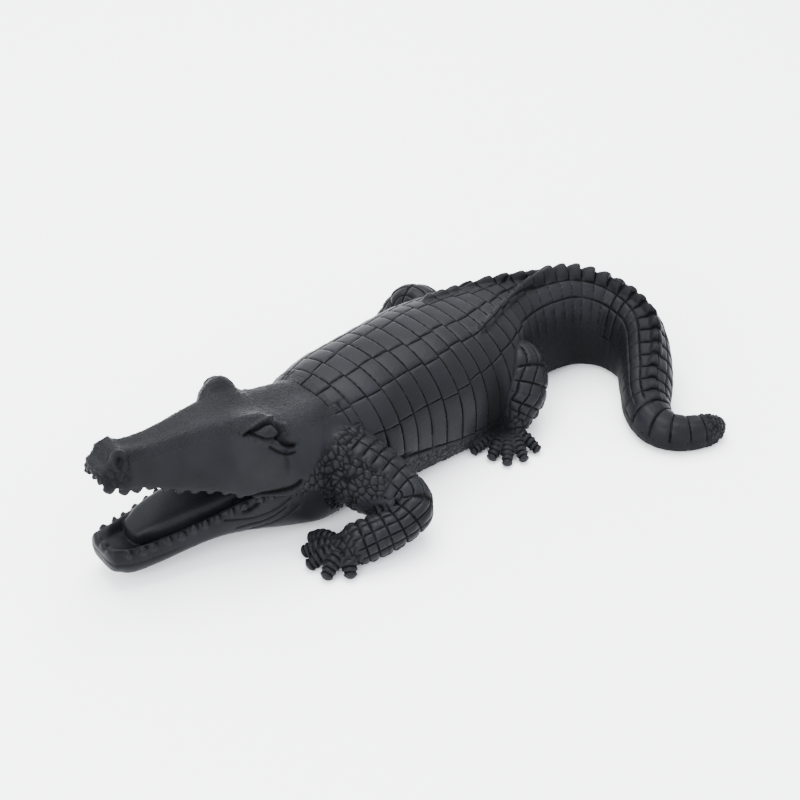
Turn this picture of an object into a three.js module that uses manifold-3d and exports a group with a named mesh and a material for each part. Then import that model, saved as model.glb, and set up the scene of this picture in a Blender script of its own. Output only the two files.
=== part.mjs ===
// A crocodile figurine cast in one piece: mouth open, belly and feet on the table, tail in an S.
// Millimetres, +Z up, standing on z = 0. The head faces -X and the left side faces -Y.
import * as THREE from "three";
import { mergeVertices } from "three/addons/utils/BufferGeometryUtils.js";
import Module from "manifold-3d";

const wasm = await Module();
wasm.setup();

// Overall size, and the box of the layout below, which is scaled to it.
const SIZE = [240, 130, 57];
const LAYOUT = { size: [251.14, 130.68, 57.02], middle: [-8.93, -8.66] };

// The body from inside the skull to the tip of the tail: the line of the back in plan,
// the half width there, and the heights of the back and of the belly.
const BODY = [
  { x: -74, y: -4, half: 16, back: 43, belly: 12 },
  { x: -60, y: -3, half: 19, back: 43, belly: 7 },
  { x: -46, y: 0, half: 22.5, back: 44, belly: 1 },
  { x: -28, y: 3, half: 28, back: 44.8, belly: -2 },
  { x: -6, y: 6, half: 29, back: 44.5, belly: -3 },
  { x: 16, y: 8, half: 31, back: 44, belly: -3 },
  { x: 38, y: 10, half: 30, back: 42, belly: -2 },
  { x: 58, y: 13, half: 21.5, back: 40.5, belly: -1 },
  { x: 76, y: 12, half: 16, back: 39.5, belly: -1 },
  { x: 93, y: 7, half: 13, back: 38.5, belly: -1 },
  { x: 104, y: -5, half: 11.5, back: 35.5, belly: -1 },
  { x: 105, y: -22, half: 10.5, back: 31.5, belly: -1 },
  { x: 96, y: -36, half: 10.5, back: 23.5, belly: -1 },
  { x: 87, y: -46, half: 9.3, back: 18, belly: -1 },
  { x: 83, y: -55.5, half: 8.2, back: 14.5, belly: -1 },
  { x: 86.3, y: -63, half: 7.2, back: 12.5, belly: -1 },
  { x: 94.8, y: -67.8, half: 6, back: 11.5, belly: -1 },
  { x: 105, y: -69.5, half: 4.9, back: 10.6, belly: 0.2 },
];
const WAIST = 0.42; // where a section is widest, as a share of its height
const UPPER = 2.3; // how square a section is above the waist: 2 is an ellipse
const UNDER = { body: 4, tail: 2.2, from: 215, to: 245 }; // and below it
const TAIL_END = { round: 7, reach: 1.5 };

// Carved plates: rows across the back and tail, measured along the body from inside the skull,
// and lines along it, in degrees round the section from the top of the back.
const ROWS = { from: [30.8, 38.5], end: 12 };
const ROW_PITCHES = [
  { from: 0, pitch: 7.7 },
  { from: 84, pitch: 6.5 },
  { from: 132, pitch: 6 },
  { from: 188, pitch: 5 },
  { from: 246, pitch: 5.7 },
];
const LINES = { back: [9, 32, 64], tail: [17, 44, 84], turn: [110, 145], half: 2.2, from: 24, to: 100 };
const GROOVE = { width: 1.2, depth: 1 };
const PLAIN_ANGLES = [92, 126, 180];

// The upper jaw and skull from the snout to the neck: plan position, half widths of the crown
// and of the lip, their heights, and how far the brows rise.
const SKULL = [
  { x: -132, y: 0.5, crown: 5.4, lip: 7.8, top: 51.8, edge: 44.5, brow: 0 },
  { x: -126, y: 0.3, crown: 6.6, lip: 9.2, top: 55.6, edge: 42, brow: 0 },
  { x: -120, y: 0, crown: 5.5, lip: 8.8, top: 54.2, edge: 40.2, brow: 0 },
  { x: -112, y: -0.5, crown: 6, lip: 10.5, top: 53.5, edge: 37, brow: 0 },
  { x: -103, y: -1, crown: 7, lip: 13, top: 54, edge: 34, brow: 0 },
  { x: -93, y: -1.5, crown: 9, lip: 16, top: 54.5, edge: 31, brow: 0 },
  { x: -84, y: -2.4, crown: 11.2, lip: 19, top: 54.4, edge: 27.4, brow: 2.5 },
  { x: -78.5, y: -3, crown: 12.5, lip: 20.8, top: 53.4, edge: 26.4, brow: 6.6 },
  { x: -74.5, y: -3.4, crown: 13.2, lip: 21.9, top: 52.4, edge: 26, brow: 8.05 },
  { x: -69.5, y: -3.8, crown: 14.1, lip: 23.1, top: 50.7, edge: 25.5, brow: 3 },
  { x: -64, y: -4, crown: 14.5, lip: 24.5, top: 48.9, edge: 25, brow: 0 },
  { x: -55, y: -3, crown: 14.5, lip: 25.5, top: 46.8, edge: 21, brow: 0 },
  { x: -45, y: -1, crown: 13, lip: 24, top: 44.5, edge: 14, brow: 0 },
  { x: -36, y: 2, crown: 11, lip: 20, top: 42, edge: 8, brow: 0 },
];
const SNOUT_TIP = { x: -134.3, y: 0.5, z: 48.5 };

// The lower jaw from the chin to the throat: half width, and heights of its rim and underside
const JAW = [
  { x: -132.3, y: 0.5, half: 9, rim: 15.2, under: 6.5 },
  { x: -127, y: 0.2, half: 10.6, rim: 14.5, under: 4.5 },
  { x: -117, y: -0.5, half: 12.5, rim: 15.5, under: 5.8 },
  { x: -106, y: -1, half: 14, rim: 17, under: 7.6 },
  { x: -95, y: -1.5, half: 16, rim: 19.5, under: 8.8 },
  { x: -83, y: -2.5, half: 18.8, rim: 23.3, under: 8 },
  { x: -70, y: -3.5, half: 21.5, rim: 26, under: 5 },
  { x: -56, y: -3, half: 24, rim: 28, under: 1.2 },
  { x: -44, y: 0, half: 24, rim: 28, under: -2 },
];
const CHIN = { x: -134.5, y: 0.5, z: 11 };
const TROUGH = { wall: 4, depth: 5.5, from: -128, to: -68 };
const TONGUE = [
  [-118.5, 1.5, 12, 6, 5.5],
  [-112, 1, 13.5, 8.5, 6.5],
  [-101, 0, 15.5, 10, 6.5],
  [-87, -2, 18, 11, 6.5],
  [-71, -3.5, 22, 11, 6.5],
];

// The crests of the hips, by their distance along the body and offset from its middle, which meet
// in the crest of the tail.
const CREST = {
  left: [[108, 14.4], [112.6, 13.2], [124.6, 9.6], [133.6, 8], [140.3, 6], [147.2, 4], [156, 1.8]],
  right: [[108, -14], [127, -10.5], [138, -5.5], [146, -1.8], [156, 0]],
  low: 2.4,
  high: 3.5,
  meet: 148,
  height: 3.6,
  fade: 48,
};
const SCUTE = { length: 6.5, thick: 4, ridge: 1.4, root: 2 };

const TEETH = {
  upper: { from: -126.5, count: 9, inset: 1.8 },
  lower: { from: -130, count: 10, inset: 1.6 },
  pitch: 5.5,
  radius: 1.7,
  length: 3.4,
  root: 1.2,
};
const EYE = { x: -74.9, y: -3.3, apart: 30.8, z: 50.8, long: 5.4, wide: 4.4, high: 3.8 };
const NOSTRIL = { x: -126, apart: 12.6, z: 53, radius: 1.8 };

// Limbs: the points of the leg with its thickness, the palm with the thickness of its toes, and the
// tips of the toes
const LIMBS = [
  {
    leg: [
      [-46, -9, 27, 12],
      [-38, -26, 20, 13.4],
      [-32, -39, 15.6, 11.2],
      [-31, -46, 13.5, 8.7],
      [-37.6, -48, 11, 7.2],
      [-46.2, -46.6, 9, 7.6],
      [-53.6, -44.4, 7.4, 8.4, 7],
      [-57.6, -42.8, 5.6, 7.4, 5.4],
    ],
    palm: [-57.4, -42.2, 5.6, 3],
    toes: [[-62.4, -26], [-69.2, -30.8], [-72.2, -38.2], [-70.7, -47], [-62.8, -52]],
  },
  {
    leg: [
      [-44, 8, 22, 10],
      [-37, 21, 17.5, 10],
      [-32, 30, 12.5, 8.7],
      [-31, 35.5, 9.5, 7.4],
      [-38, 39, 8, 7],
      [-47, 39.5, 7.6, 7.2],
      [-56, 38, 7, 8, 6.4],
      [-60, 37.4, 5, 7.6, 4.8],
    ],
    palm: [-59, 37.6, 5, 2.8],
    toes: [[-65, 21.5], [-72, 26], [-75.5, 33.5], [-74, 42], [-66, 47]],
  },
  {
    leg: [
      [36, 4, 18, 12],
      [46.5, -6, 21, 11.5],
      [48.8, -13, 20, 10.8],
      [44.5, -18.3, 14, 10.1],
      [40, -20.4, 8.5, 8, 7],
      [36, -22.4, 5, 6.4, 5],
    ],
    palm: [35.5, -22.2, 4.6, 2.4],
    toes: [[16.5, -23], [20, -30.5], [23, -37], [30.5, -39], [39, -37.5]],
  },
  {
    leg: [
      [35, 16, 20, 12],
      [37.5, 31, 25, 10.5],
      [36.5, 39.5, 25.3, 9.7],
      [30.5, 43.5, 17, 8.5],
      [25, 45.5, 8, 8, 7],
      [19, 45, 4, 6.8, 4.8],
    ],
    palm: [18.5, 45, 4, 2.5],
    toes: [[4.5, 41.5], [2.5, 46.5], [5.5, 51.3], [12, 54.9], [20.5, 56.04]],
  },
];
const TOE = { taper: 0.8, tipHeight: 2, ridges: 2, ridge: 0.35 };
const TABLE = { across: 400, depth: 40 }; // what the underside is cut flat by

const rad = THREE.MathUtils.degToRad;
const v3 = (x, y, z) => new THREE.Vector3(x, y, z);
const curve = (points) => new THREE.CatmullRomCurve3(points, false, "catmullrom", 0.5);

// A closed skin over rings of equally many points, with a fan over each end.
function skin(rings, ends = []) {
  const around = rings[0].length;
  const points = rings.flat();
  const faces = [];
  const at = (ring, k) => ring * around + (k % around);
  for (let i = 0; i + 1 < rings.length; i++)
    for (let k = 0; k < around; k++) {
      faces.push(at(i, k), at(i, k + 1), at(i + 1, k));
      faces.push(at(i + 1, k), at(i, k + 1), at(i + 1, k + 1));
    }
  const last = rings.length - 1;
  const middle = (ring) => ring.reduce((sum, p) => sum.add(p), v3(0, 0, 0)).divideScalar(around);
  const first = points.push(ends[0] ?? middle(rings[0])) - 1;
  const end = points.push(ends[1] ?? middle(rings[last])) - 1;
  for (let k = 0; k < around; k++) {
    faces.push(first, at(0, k + 1), at(0, k));
    faces.push(end, at(last, k), at(last, k + 1));
  }
  const geometry = new THREE.BufferGeometry().setFromPoints(points);
  geometry.setIndex(faces);
  return geometry;
}

// A geometry as a solid that can be joined and cut.
function solid(geometry) {
  const bare = geometry.clone();
  for (const name of Object.keys(bare.attributes)) if (name !== "position") bare.deleteAttribute(name);
  const merged = mergeVertices(bare, 1e-4);
  const mesh = new wasm.Mesh({
    numProp: 3,
    vertProperties: merged.attributes.position.array,
    triVerts: new Uint32Array(merged.index.array),
  });
  const made = new wasm.Manifold(mesh);
  if (made.volume() < 0) throw new Error("a form is inside out");
  return made;
}

const power = (value, n) => Math.sign(value) * Math.abs(value) ** (2 / n);

// The body's section at a distance along it, as one ring of points.
const bodyPath = curve(BODY.map((s) => v3(s.x, s.y, 0)));
const bodySizes = curve(BODY.map((s) => v3(s.half, s.back, s.belly)));
bodyPath.arcLengthDivisions = 800;
const bodyLength = bodyPath.getLength();

function bodyFrame(along) {
  const t = bodyPath.getUtoTmapping(along / bodyLength);
  const place = bodyPath.getPoint(t);
  const forward = bodyPath.getTangent(t).setZ(0).normalize();
  const side = v3(forward.y, -forward.x, 0); // towards the figure's left
  const size = bodySizes.getPoint(t);
  const turned = THREE.MathUtils.smoothstep(along, UNDER.from, UNDER.to);
  const under = UNDER.body + (UNDER.tail - UNDER.body) * turned;
  const over = Math.max(0, along - bodyLength + TAIL_END.round) / TAIL_END.round;
  const close = Math.sqrt(1 - over * over);
  return { place, forward, side, half: size.x, back: size.y, belly: size.z, under, close };
}

const waistHeight = ({ belly, back }) => belly + (back - belly) * WAIST;

function bodyPoint(frame, degrees, lift = 0) {
  const a = rad(degrees);
  const middle = waistHeight(frame);
  const above = Math.cos(a) >= 0;
  const tall = above ? frame.back - middle : middle - frame.belly;
  const n = above ? UPPER : frame.under;
  const across = power(Math.sin(a), n) * (frame.half + lift) * frame.close;
  const up = power(Math.cos(a), n) * (tall + lift) * frame.close;
  return frame.place.clone().addScaledVector(frame.side, across).setZ(middle + up);
}

// Height of the back at an offset from its middle
function backHeight(frame, offset) {
  const middle = waistHeight(frame);
  const share = Math.min(1, Math.abs(offset) / frame.half);
  return middle + (frame.back - middle) * (1 - share ** UPPER) ** (1 / UPPER);
}

// Angles of a ring's points, each with its share of the groove's depth
function bodyAngles(along) {
  const beside = LINES.half;
  const turned = THREE.MathUtils.smoothstep(along, ...LINES.turn);
  const lines = LINES.back.map((a, i) => a + (LINES.tail[i] - a) * turned);
  const carved = lines.flatMap((a) => [[a - beside, 0], [a, 1], [a + beside, 0]]);
  const half = [...carved, ...PLAIN_ANGLES.map((a) => [a, 0])];
  const right = half.slice(0, -1).map(([a, g]) => [-a, g]).reverse();
  return [[0, 0], ...half, ...right];
}

const rowPitch = (along) => ROW_PITCHES.findLast((stretch) => along >= stretch.from).pitch;

// The single crest of the tail, which grows where the two crests of the hips meet
function crestHeight(along) {
  const grow = THREE.MathUtils.clamp((along - CREST.meet) / 10, 0, 1);
  return CREST.height * grow * Math.min(1, (bodyLength - 12 - along) / CREST.fade);
}

function body() {
  const stops = [[0, 0], [ROWS.from[0] / 2, 0]];
  let row = ROWS.from[0];
  while (row < bodyLength - ROWS.end) {
    stops.push([row - GROOVE.width, 0], [row, 1]);
    row = row < ROWS.from[1] ? ROWS.from[1] : row + rowPitch(row);
  }
  for (const left of [0.7, 0.3, 0.05]) stops.push([bodyLength - TAIL_END.round * left, 0]);
  const rings = stops.map(([along, cut]) => {
    const frame = bodyFrame(along);
    const ridge = cut ? 0 : Math.max(0, crestHeight(along));
    return bodyAngles(along).map(([a, line]) => {
      const carved = Math.abs(a) < LINES.to && along > LINES.from ? Math.max(cut, line) : 0;
      return bodyPoint(frame, a, a ? -GROOVE.depth * carved * frame.close : ridge - GROOVE.depth * cut);
    });
  });
  const end = bodyFrame(bodyLength);
  const tip = end.place.clone().addScaledVector(end.forward, TAIL_END.reach).setZ(waistHeight(end));
  return skin(rings, [undefined, tip]);
}

// A limb, toe or tongue: a tapered tube through points, each with its thickness.
function tube(points, around, steps, swell = () => 0) {
  const path = curve(points.map((p) => v3(p[0], p[1], p[2])));
  const sizes = curve(points.map((p) => v3(p[3], p[4] ?? p[3], 0)));
  const rings = [];
  for (let i = 0; i <= steps; i++) {
    const t = i / steps;
    const along = path.getTangent(t);
    const across = v3(0, 0, 1).cross(along).normalize();
    const up = along.clone().cross(across);
    const centre = path.getPoint(t);
    const size = sizes.getPoint(t).addScalar(swell(i));
    rings.push(
      Array.from({ length: around }, (_, k) => {
        const a = (2 * Math.PI * k) / around;
        return centre
          .clone()
          .addScaledVector(across, Math.cos(a) * size.x)
          .addScaledVector(up, Math.sin(a) * size.y);
      }),
    );
  }
  const reach = (i, way) => {
    const t = i / steps;
    const size = sizes.getPoint(t);
    return path.getPoint(t).addScaledVector(path.getTangent(t), (way * (size.x + size.y)) / 3);
  };
  return skin(rings, [reach(0, -1), reach(steps, 1)]);
}

function ball(centre, radii) {
  return new THREE.SphereGeometry(1, 8, 6).scale(...radii).translate(...centre);
}

// The upper jaw and skull: half a section, mirrored
function skull() {
  const rings = SKULL.map(({ x, y, crown, lip, top, edge, brow }) => {
    const tall = top - edge;
    const left = [
      [0, top],
      [crown * 0.55, top - 0.3],
      [crown + brow * 0.15, top - tall * 0.13 + brow],
      [(crown + lip) / 2 + brow * 0.5, top - tall * 0.45 + brow * 0.5],
      [lip * 0.98, edge + tall * 0.2],
      [lip, edge],
      [lip - 2.5, edge + 0.6],
      [0, edge + 2.5],
    ];
    const right = left.slice(1, -1).reverse().map(([w, z]) => [-w, z]);
    return [...left, ...right].map(([w, z]) => v3(x, y - w, z));
  });
  return skin(rings, [v3(SNOUT_TIP.x, SNOUT_TIP.y, SNOUT_TIP.z), undefined]);
}

function jaw() {
  const rings = JAW.map(({ x, y, half, rim, under }) => {
    const left = [
      [0, rim],
      [half * 0.92, rim],
      [half, rim - 1.5],
      [half * 0.95, under + (rim - under) * 0.4],
      [half * 0.7, under + (rim - under) * 0.1],
      [0, under],
    ];
    const right = left.slice(1, -1).reverse().map(([w, z]) => [-w, z]);
    return [...left, ...right].map(([w, z]) => v3(x, y - w, z));
  });
  return skin(rings, [v3(CHIN.x, CHIN.y, CHIN.z), undefined]);
}

const jawSizes = curve(JAW.map((s) => v3(s.half, s.rim, 0)));
const jawPath = curve(JAW.map((s) => v3(s.x, s.y, 0)));
const skullPath = curve(SKULL.map((s) => v3(s.x, s.y, 0)));
const skullSizes = curve(SKULL.map((s) => v3(s.lip, s.edge, 0)));

// Where a line of stations stands at a given x
function stationAt(path, sizes, x) {
  let low = 0;
  let high = 1;
  for (let i = 0; i < 30; i++) {
    const t = (low + high) / 2;
    if (path.getPoint(t).x < x) low = t;
    else high = t;
  }
  const place = path.getPoint(low);
  const size = sizes.getPoint(low);
  return { x, y: place.y, half: size.x, z: size.y };
}

function trough() {
  const rings = [];
  for (let i = 0; i <= 7; i++) {
    const x = TROUGH.from + ((TROUGH.to - TROUGH.from) * i) / 7;
    const s = stationAt(jawPath, jawSizes, x);
    const half = s.half - TROUGH.wall;
    const floor = s.z - TROUGH.depth;
    const left = [[0, s.z + 4], [half, s.z + 4], [half, s.z - 0.5], [half * 0.75, floor], [0, floor]];
    const right = left.slice(1, -1).reverse().map(([w, z]) => [-w, z]);
    rings.push([...left, ...right].map(([w, z]) => v3(x, s.y - w, z)));
  }
  return skin(rings);
}

// A row of teeth along each side of a jaw, pointing down (-1) or up (1)
function teeth({ from, count, inset }, path, sizes, way) {
  const forms = [];
  for (let i = 0; i < count; i++) {
    const s = stationAt(path, sizes, from + i * TEETH.pitch);
    for (const side of [-1, 1]) {
      const form = new THREE.ConeGeometry(TEETH.radius, TEETH.length, 4).rotateX((way * Math.PI) / 2);
      const z = s.z + way * (TEETH.length / 2 - TEETH.root);
      forms.push(form.translate(s.x, s.y + side * (s.half - inset), z));
    }
  }
  return forms;
}

// A crest scute: a wedge that leans towards the tail's tip
function scute(frame, offset, height) {
  const centre = frame.place.clone().addScaledVector(frame.side, offset);
  const ground = backHeight(frame, offset);
  const at = (forward, side, up) =>
    centre
      .clone()
      .addScaledVector(frame.forward, forward * SCUTE.length)
      .addScaledVector(frame.side, side)
      .setZ(ground + up);
  const loop = (start, end, wide, up) => [
    at(start, -wide / 2, up),
    at(start, wide / 2, up),
    at(end, wide / 2, up),
    at(end, -wide / 2, up),
  ];
  return skin([loop(-0.5, 0.5, SCUTE.thick, -SCUTE.root), loop(0.15, 0.55, SCUTE.ridge, height)]);
}

// The offset of a crest at a distance along the body, between the points of its table
function crestOffset(points, along) {
  const i = Math.max(1, points.findIndex(([s]) => s >= along));
  const [[s0, w0], [s1, w1]] = [points[i - 1], points[i]];
  return w0 + ((w1 - w0) * (along - s0)) / (s1 - s0);
}

// The two crests of the hips, which draw together and grow towards the tail
function crest() {
  const forms = [];
  for (const points of [CREST.left, CREST.right]) {
    const [start] = points[0];
    const [end] = points.at(-1);
    for (let s = start; s < end; s += rowPitch(s)) {
      const height = CREST.low + ((CREST.high - CREST.low) * (s - start)) / (end - start);
      forms.push(scute(bodyFrame(s), crestOffset(points, s), height));
    }
  }
  return forms;
}

function limb({ leg, palm, toes }) {
  const [x, y, z, radius] = palm;
  const forms = [tube(leg, 8, leg.length + 2)];
  for (const [tipX, tipY] of toes) {
    const at = (share) => [x + (tipX - x) * share, y + (tipY - y) * share];
    const points = [
      [...at(0.2), z, radius],
      [...at(0.6), z * 0.8 + 0.6, radius],
      [...at(0.95), TOE.tipHeight, radius * TOE.taper],
    ];
    forms.push(tube(points, 5, TOE.ridges * 2, (i) => (i % 2 ? TOE.ridge : -TOE.ridge)));
  }
  return forms;
}

const forms = [body(), skull(), tube(TONGUE, 8, 5), ...crest()];
forms.push(...teeth(TEETH.upper, skullPath, skullSizes, -1));
forms.push(...teeth(TEETH.lower, jawPath, jawSizes, 1));
for (const side of [-1, 1]) {
  forms.push(ball([EYE.x, EYE.y + (side * EYE.apart) / 2, EYE.z], [EYE.long, EYE.wide, EYE.high]));
}
for (const one of LIMBS) forms.push(...limb(one));

const lowerJaw = solid(jaw()).subtract(solid(trough()));
let croc = wasm.Manifold.union([lowerJaw, ...forms.map(solid)]);
for (const side of [-1, 1]) {
  const hollow = ball([NOSTRIL.x, (side * NOSTRIL.apart) / 2, NOSTRIL.z], Array(3).fill(NOSTRIL.radius));
  croc = croc.subtract(solid(hollow));
}
const table = new THREE.BoxGeometry(TABLE.across, TABLE.across, TABLE.depth);
table.translate(0, 0, -TABLE.depth / 2);
croc = croc.subtract(solid(table));
const [middleX, middleY] = LAYOUT.middle;
croc = croc.translate([-middleX, -middleY, 0]).scale(SIZE.map((size, i) => size / LAYOUT.size[i]));

const made = croc.getMesh();
const count = made.numProp;
const positions = new Float32Array(made.numVert * 3);
for (let i = 0; i < made.numVert; i++)
  positions.set(made.vertProperties.subarray(i * count, i * count + 3), i * 3);
const geometry = new THREE.BufferGeometry();
geometry.setAttribute("position", new THREE.BufferAttribute(positions, 3));
geometry.setIndex(new THREE.BufferAttribute(made.triVerts, 1));
const resin = new THREE.MeshStandardMaterial({ color: 0x25262a, roughness: 0.6, metalness: 0 });
const mesh = new THREE.Mesh(geometry, resin);
mesh.name = "crocodile";
const group = new THREE.Group();
group.add(mesh);
export default group;
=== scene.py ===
import math

import bmesh
import bpy
import numpy as np
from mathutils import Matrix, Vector


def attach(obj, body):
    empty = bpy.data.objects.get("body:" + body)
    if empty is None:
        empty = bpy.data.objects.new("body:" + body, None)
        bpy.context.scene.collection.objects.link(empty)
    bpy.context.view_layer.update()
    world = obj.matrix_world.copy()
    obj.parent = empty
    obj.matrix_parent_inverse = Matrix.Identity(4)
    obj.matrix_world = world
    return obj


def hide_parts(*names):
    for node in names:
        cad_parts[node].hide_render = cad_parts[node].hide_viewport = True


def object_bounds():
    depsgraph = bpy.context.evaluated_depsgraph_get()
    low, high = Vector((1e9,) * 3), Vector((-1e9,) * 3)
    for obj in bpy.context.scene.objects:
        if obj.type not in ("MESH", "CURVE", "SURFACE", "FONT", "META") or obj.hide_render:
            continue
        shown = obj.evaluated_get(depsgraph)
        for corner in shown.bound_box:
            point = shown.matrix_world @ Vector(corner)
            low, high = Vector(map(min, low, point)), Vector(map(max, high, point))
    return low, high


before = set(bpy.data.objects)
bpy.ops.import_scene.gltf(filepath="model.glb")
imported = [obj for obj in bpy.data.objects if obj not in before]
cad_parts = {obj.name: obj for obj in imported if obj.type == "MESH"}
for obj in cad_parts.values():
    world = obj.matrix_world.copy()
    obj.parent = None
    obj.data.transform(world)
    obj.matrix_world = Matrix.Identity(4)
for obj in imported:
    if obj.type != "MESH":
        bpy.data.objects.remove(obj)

cad_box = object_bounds()

# A crocodile figurine cast in black resin: mouth open, belly and feet on the table, tail in an S.
# The forms are laid out in millimetres in the layout's own frame and scaled to the part's at the end.
SIZE = np.array([240, 130, 57])
LAYOUT_SIZE = np.array([251.14, 130.68, 57.02])
LAYOUT_MIDDLE = np.array([-8.93, -8.66, 0])
MM = 0.001
VOXEL = 0.38
TRIANGLES = 192000

# The line of the body in plan, its half width, and the heights of the back and of the belly
BODY = [
    (-74, -4, 16, 43, 12), (-60, -3, 19, 43, 7), (-46, 0, 22.5, 44, 1), (-28, 3, 28, 44.8, -2),
    (-6, 6, 29, 44.5, -3), (16, 8, 31, 44, -3), (38, 10, 30, 42, -2), (58, 13, 21.5, 40.5, -1),
    (76, 12, 16, 39.5, -1), (93, 7, 13, 38.5, -1), (104, -5, 11.5, 35.5, -1),
    (105, -22, 10.5, 31.5, -1), (96, -36, 10.5, 23.5, -1), (87, -46, 9.3, 18, -1),
    (83, -55.5, 8.2, 14.5, -1), (86.3, -63, 7.2, 12.5, -1), (94.8, -67.8, 6, 11.5, -1),
    (105, -69.5, 4.9, 10.6, 0.2),
]
WAIST = 0.42  # where a section is widest, as a share of its height
# How square a section is above and below its widest place, where 2 is an ellipse: towards the
# end of the tail the part below gets rounder
UPPER = 2.3
UNDER = {"body": 4, "tail_less": 1.8, "from": 215, "to": 245}
TAIL_END = {"round": 7, "reach": 1.5}

# Carved plates: where the first rows begin, then the stretches of even rows with their pitch along
# the body, and the lines along it, by their angles from the top of the back at a few places
ROWS_FROM = [30.8, 38.5]
ROW_PITCHES = [(0, 7.7), (84, 6.5), (132, 6), (188, 5), (246, 5.7), (262, 4.2)]
LINES = {
    "at": [30, 60, 90, 112, 125, 150],
    "left": [
        (9, 34, 66, 87), (8, 32.5, 65, 91), (9, 28, 61, 96), (8, 24, 49, 96), (6, 20, 46, 92),
        (4, 17, 44, 84),
    ],
    "right": [
        (6, 32, 64, 88), (13, 33, 63, 91), (16, 34, 60, 96), (15, 30, 52, 96), (9, 22, 48, 92),
        (4, 17, 44, 84),
    ],
    "end": (238, 242), "uneven": 3.6,
}
# The neck has one row over its top and smaller squares beside it. On the inner side of the tail the
# cross lines fade, over an upper and a lower stretch. Below the lowest line the belly has pebbles.
NECK = {"turn": (24, 28), "squares_end": (70, 64), "shown": 0.8}
TAIL_FROM = (128, 146)
BARE = {
    "turn": (14, 20), "upper": (134, 146, 192, 184), "lower": (196, 204), "end": (240, 232), "low": (70, 78),
}
# Pebbles: their sizes on the neck, the belly and the tail's tip, the tip's stretch, and the band
# of the neck, by the slope of its upper edge and the heights below it
PEBBLES = {
    "neck": 2.7, "belly": 2.3, "tip": 1.8, "palm": 2.4, "tip_from": (12, 7),
    "edge": 33, "slope": 0.35, "band": (3, 11, 6),
}
# Painted shade: where the skin is painted darker for the shade under the bend of the tail, along its crest
# and behind the flank by the hind leg
PAINTED_SHADE = {
    "bend_turn": (50, 88), "bend_from": (122, 142), "bend": 0.5,
    "crest_turn": (26, 14), "crest_from": (118, 140), "crest": 0.28,
    "flank_at": (31, -20, 14), "flank_reach": (15, 5), "flank_end": (38, 33), "flank": 0.85,
}
# Heights of the carving
RELIEF = {
    "tilt": 0.28, "lean": 0.22, "plate": 0.12, "square": 0.3, "groove": 0.5, "ring_groove": 0.15,
    "groove_width": 0.4, "pebble": 0.6, "sunk": 0.25, "grain": 0.2, "grain_size": 1.25,
}

# The upper jaw and skull: x, y, half widths of crown and lip, and their heights
SKULL = [
    (-132, 0.5, 5.4, 7.8, 51.8, 44.5), (-126, 0.3, 6.6, 9.2, 55.6, 42), (-120, 0, 5.5, 8.8, 54.2, 40.2),
    (-112, -0.5, 6, 10.5, 53.5, 37), (-103, -1, 7, 13, 54, 34), (-93, -1.5, 9, 16, 54.5, 31),
    (-83, -2.5, 11.5, 19.3, 54.3, 27), (-73, -3.5, 13.5, 22.3, 52, 25.8), (-64, -4, 14.5, 24.5, 48.9, 25),
    (-55, -3, 14.5, 25.5, 46.8, 21), (-45, -1, 13, 24, 44.5, 14), (-36, 2, 11, 20, 42, 8),
]
# The lower jaw: x, y, half width, and the heights of its rim and underside
JAW = [
    (-132.3, 0.5, 9, 15.2, 6.5), (-127, 0.2, 10.6, 14.5, 4.5), (-117, -0.5, 12.5, 15.5, 5.8),
    (-106, -1, 14, 17, 7.6), (-95, -1.5, 16, 19.5, 8.8), (-83, -2.5, 18.8, 23.3, 8),
    (-70, -3.5, 21.5, 26, 5), (-56, -3, 24, 28, 1.2), (-44, 0, 24, 28, -2),
]
TROUGH = {"wall": 4, "depth": 5.5, "from": (-134, -113), "to": -68}
TONGUE = [
    (-118.5, 1.5, 12, 6, 5.5), (-112, 1, 13.5, 8.5, 6.5), (-101, 0, 15.5, 10, 6.5),
    (-87, -2, 18, 11, 6.5), (-71, -3.5, 22, 11, 6.5),
]

# The crests of the hips, by their distance along the body and offset from its middle, which meet
# in the crest of the tail
CREST = {
    "near": [
        (106, 15), (112.6, 13.2), (124.6, 9.6), (133.6, 8), (140.3, 6), (147.2, 4), (152.7, 2.6), (162, 0),
    ],
    "far": [(104, -14.5), (112, -13.5), (127, -10.5), (138, -5.5), (146, -1.8), (156, 0)],
    "tail": [(144, 0), (190, 0), (207, -3.2), (216, -3), (226, -1.4), (236, -1.4), (246, 0)],
    "height": 3.6, "fade": 48,
}
# How far the brows rise above the skull, by x
BROW = [
    (-88, 0), (-86, 0.4), (-83.5, 3.2), (-79, 6.4), (-74.5, 7.2), (-72, 6.2), (-70.3, 4.4), (-68.8, 2),
    (-66.5, 0),
]
EYE = {"x": -74.9, "y": -3.3, "apart": 30.8, "z": 50.8, "radii": (5.4, 4.8, 4)}

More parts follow.
